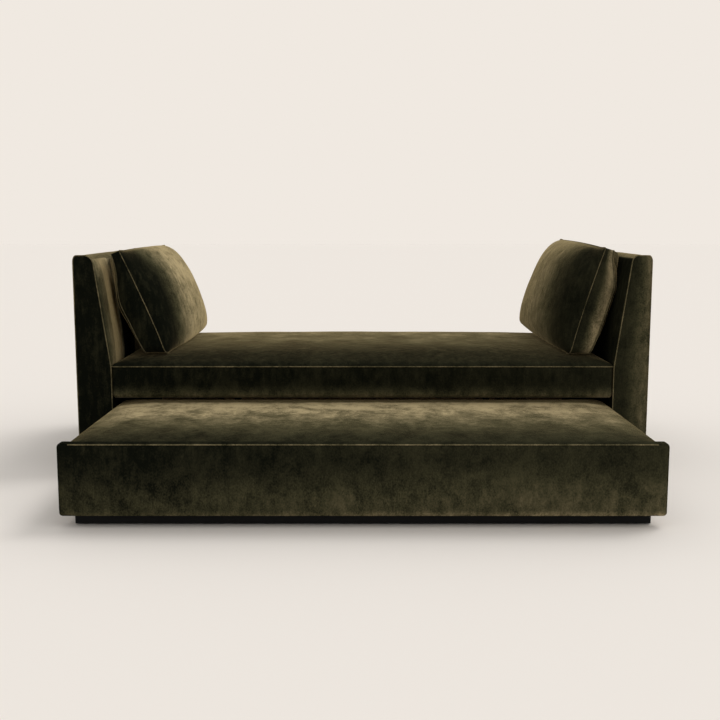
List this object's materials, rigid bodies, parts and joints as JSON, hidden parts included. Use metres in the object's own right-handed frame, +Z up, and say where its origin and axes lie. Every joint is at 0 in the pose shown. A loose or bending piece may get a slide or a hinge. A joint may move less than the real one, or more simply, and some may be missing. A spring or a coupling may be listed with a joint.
{
  "type": "trundle daybed",
  "caption": "Backless upholstered daybed with wedge arms, a crowned bench seat, loose pillows and a wheeled trundle mattress that rolls out from under the seat.",
  "frame": {"origin": "on the floor under the middle of the object with the trundle pulled out as at rest", "axes": "+X to the right along the seat, -Y to the front where the trundle comes out, +Z up"},
  "size_m": [2.29, 1.811, 0.8906],
  "materials": {
    "velvet": "deep olive velvet",
    "foam": "open-cell foam",
    "plywood": "sanded birch plywood",
    "pine": "planed softwood",
    "hardboard": "pressed hardboard",
    "black_stain": "matt black stain",
    "dust_cloth": "black spunbonded cloth",
    "zinc_steel": "bright zinc plate",
    "bumper_rubber": "matt black rubber",
    "nylon": "moulded black nylon",
    "zip_tape": "olive coil zip"
  },
  "bodies": {
    "daybed": {"arm_bolt_nuts": "zinc_steel", "arm_bolt_washers": "zinc_steel", "arm_bolts": "zinc_steel", "back_panel_board": "plywood", "back_panel_cover": "velvet", "floor_glides": "nylon", "left_arm_back_frame": "plywood", "left_arm_cleat": "pine", "left_arm_cover": "velvet", "left_arm_foam": "foam", "left_arm_front_frame": "plywood", "left_arm_plinth": "black_stain", "left_arm_sill": "pine", "left_arm_skins": "hardboard", "left_arm_top_rail": "pine", "right_arm_back_frame": "plywood", "right_arm_cleat": "pine", "right_arm_cover": "velvet", "right_arm_foam": "foam", "right_arm_front_frame": "plywood", "right_arm_plinth": "black_stain", "right_arm_sill": "pine", "right_arm_skins": "hardboard", "right_arm_top_rail": "pine", "seat_back_rail": "pine", "seat_cover": "velvet", "seat_dust_cover": "dust_cloth", "seat_foam": "foam", "seat_front_rail": "pine", "seat_left_end_rail": "pine", "seat_right_end_rail": "pine", "seat_slat_bearers": "pine", "seat_slats": "pine", "trundle_bumpers": "bumper_rubber"},
    "trundle": {"trundle_back_board": "pine", "trundle_front_board": "plywood", "trundle_front_cover": "velvet", "trundle_front_foam": "foam", "trundle_left_side": "pine", "trundle_mattress_core": "foam", "trundle_mattress_cover": "velvet", "trundle_mattress_zip": "zip_tape", "trundle_right_side": "pine", "trundle_skirt": "black_stain", "trundle_slat_bearers": "pine", "trundle_slats": "pine", "trundle_wheel_blocks": "pine", "wheel_brackets": "zinc_steel", "wheel_axles": "zinc_steel", "bracket_screws": "zinc_steel"},
    "front_left_wheel": {"front_left_wheel": "nylon"},
    "front_right_wheel": {"front_right_wheel": "nylon"},
    "back_left_wheel": {"back_left_wheel": "nylon"},
    "back_right_wheel": {"back_right_wheel": "nylon"},
    "left_pillow": {"left_pillow_cover": "velvet", "left_pillow_insert": "foam", "left_pillow_zip": "zip_tape"},
    "right_pillow": {"right_pillow_cover": "velvet", "right_pillow_insert": "foam", "right_pillow_zip": "zip_tape"}
  },
  "joints": [
    {"name": "trundle_roll", "type": "slide", "parent": "daybed", "child": "trundle", "axis": [0, -1, 0], "range_m": [-0.781, 0.18]},
    {"name": "front_left_wheel_turn", "type": "hinge", "parent": "trundle", "child": "front_left_wheel", "pos_m": [-0.937, -0.7965, 0.025], "axis": [1, 0, 0], "continuous": true},
    {"name": "front_right_wheel_turn", "type": "hinge", "parent": "trundle", "child": "front_right_wheel", "pos_m": [0.937, -0.7965, 0.025], "axis": [1, 0, 0], "continuous": true},
    {"name": "back_left_wheel_turn", "type": "hinge", "parent": "trundle", "child": "back_left_wheel", "pos_m": [-0.937, -0.0325, 0.025], "axis": [1, 0, 0], "continuous": true},
    {"name": "back_right_wheel_turn", "type": "hinge", "parent": "trundle", "child": "back_right_wheel", "pos_m": [0.937, -0.0325, 0.025], "axis": [1, 0, 0], "continuous": true},
    {"name": "left_pillow_lift", "type": "slide", "parent": "daybed", "child": "left_pillow", "axis": [0, 0, 1], "range_m": [0, 0.45]},
    {"name": "right_pillow_lift", "type": "slide", "parent": "daybed", "child": "right_pillow", "axis": [0, 0, 1], "range_m": [0, 0.45]}
  ],
  "couplings": [
    {"joint": "front_left_wheel_turn", "follows": "trundle_roll", "rad_per_m": 40},
    {"joint": "front_right_wheel_turn", "follows": "trundle_roll", "rad_per_m": 40},
    {"joint": "back_left_wheel_turn", "follows": "trundle_roll", "rad_per_m": 40},
    {"joint": "back_right_wheel_turn", "follows": "trundle_roll", "rad_per_m": 40}
  ]
}
